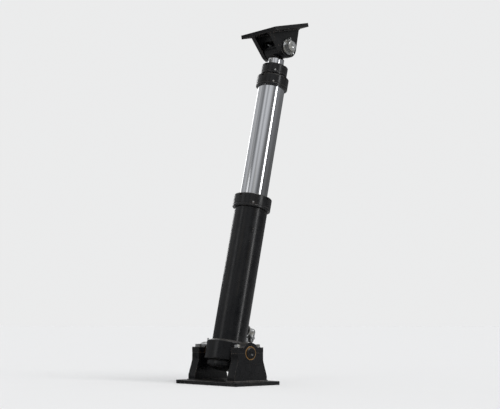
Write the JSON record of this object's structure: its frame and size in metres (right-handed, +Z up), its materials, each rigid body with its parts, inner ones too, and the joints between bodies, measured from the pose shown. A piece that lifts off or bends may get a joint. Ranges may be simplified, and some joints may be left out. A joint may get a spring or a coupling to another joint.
{
  "type": "telescopic hydraulic cylinder",
  "caption": "Telescopic hydraulic cylinder of nested chromed stages, rocking on trunnions in a bolted cradle, with a pinned upper bracket.",
  "frame": {"origin": "middle of the cradle plate's underside, below the trunnion axis", "axes": "+Z up out of the plate, +X the way the cylinder leans at rest (towards the truck's cab), +Y along the trunnions"},
  "size_m": [0.5332, 0.42, 1.695],
  "materials": {
    "black_paint": "semi-gloss black enamel",
    "hard_chrome": "ground and hard chromed, with an oil film",
    "bronze": "machined bearing bronze",
    "seal_rubber": "smooth black rubber",
    "packing_fabric": "rubberised fabric",
    "zinc_plate": "zinc plated, dulled",
    "bare_steel": "machined steel, oiled"
  },
  "bodies": {
    "cradle": {"cradle_plate": "black_paint", "pedestal_right": "black_paint", "pedestal_left": "black_paint", "bearing_cap_right": "black_paint", "bearing_cap_left": "black_paint", "trunnion_bush_right": "bronze", "trunnion_bush_left": "bronze", "cap_washer_right_rear": "zinc_plate", "cap_washer_right_front": "zinc_plate", "cap_washer_left_rear": "zinc_plate", "cap_washer_left_front": "zinc_plate", "cap_bolt_right_rear": "zinc_plate", "cap_bolt_right_front": "zinc_plate", "cap_bolt_left_rear": "zinc_plate", "cap_bolt_left_front": "zinc_plate", "cap_grease_nipple_right": "zinc_plate", "cap_grease_nipple_left": "zinc_plate"},
    "barrel": {"barrel_tube": "black_paint", "barrel_base_cap": "black_paint", "trunnion_collar": "black_paint", "thrust_washer_right": "bronze", "thrust_washer_left": "bronze", "port_boss": "black_paint", "port_lock_nut": "zinc_plate", "port_elbow": "zinc_plate", "barrel_guide_ring": "bronze", "barrel_packing": "packing_fabric", "barrel_head_nut": "black_paint", "barrel_lock_screw": "zinc_plate", "barrel_wiper": "seal_rubber"},
    "stage_1": {"stage_1_tube": "hard_chrome", "stage_1_bearing_ring": "bronze", "stage_1_stop_ring": "bare_steel", "stage_1_guide_ring": "bronze", "stage_1_packing": "packing_fabric", "stage_1_head_nut": "black_paint", "stage_1_lock_screw": "zinc_plate", "stage_1_wiper": "seal_rubber"},
    "stage_2": {"stage_2_tube": "hard_chrome", "stage_2_bearing_ring": "bronze", "stage_2_stop_ring": "bare_steel", "stage_2_guide_ring": "bronze", "stage_2_packing": "packing_fabric", "stage_2_head_nut": "black_paint", "stage_2_lock_screw": "zinc_plate", "stage_2_wiper": "seal_rubber"},
    "plunger": {"plunger_tube": "hard_chrome", "plunger_foot_plug": "bare_steel", "plunger_bearing_ring": "bronze", "plunger_stop_ring": "bare_steel", "bleeder_screw": "zinc_plate", "plunger_eye": "black_paint", "eye_bush": "bronze", "eye_grease_nipple": "zinc_plate"},
    "bracket": {"upper_bracket": "black_paint", "top_pin": "zinc_plate", "top_pin_washer_right": "zinc_plate", "top_pin_washer_left": "zinc_plate", "split_pin_right": "zinc_plate", "split_pin_left": "zinc_plate"}
  },
  "joints": [
    {"name": "trunnion_pivot", "type": "hinge", "parent": "cradle", "child": "barrel", "pos_m": [0, 0, 0.14], "axis": [0, 1, 0], "range_deg": [-30, 20]},
    {"name": "stage_1_slide", "type": "slide", "parent": "barrel", "child": "stage_1", "axis": [0.2147, 0, 0.9767], "range_m": [-0.53, 0.13]},
    {"name": "stage_2_slide", "type": "slide", "parent": "stage_1", "child": "stage_2", "axis": [0.2147, 0, 0.9767], "range_m": [0, 0.66]},
    {"name": "plunger_slide", "type": "slide", "parent": "stage_2", "child": "plunger", "axis": [0.2147, 0, 0.9767], "range_m": [0, 0.66]},
    {"name": "top_pin_pivot", "type": "hinge", "parent": "plunger", "child": "bracket", "pos_m": [0.31523, 0, 1.57376], "axis": [0, 1, 0], "range_deg": [-35, 35]}
  ]
}
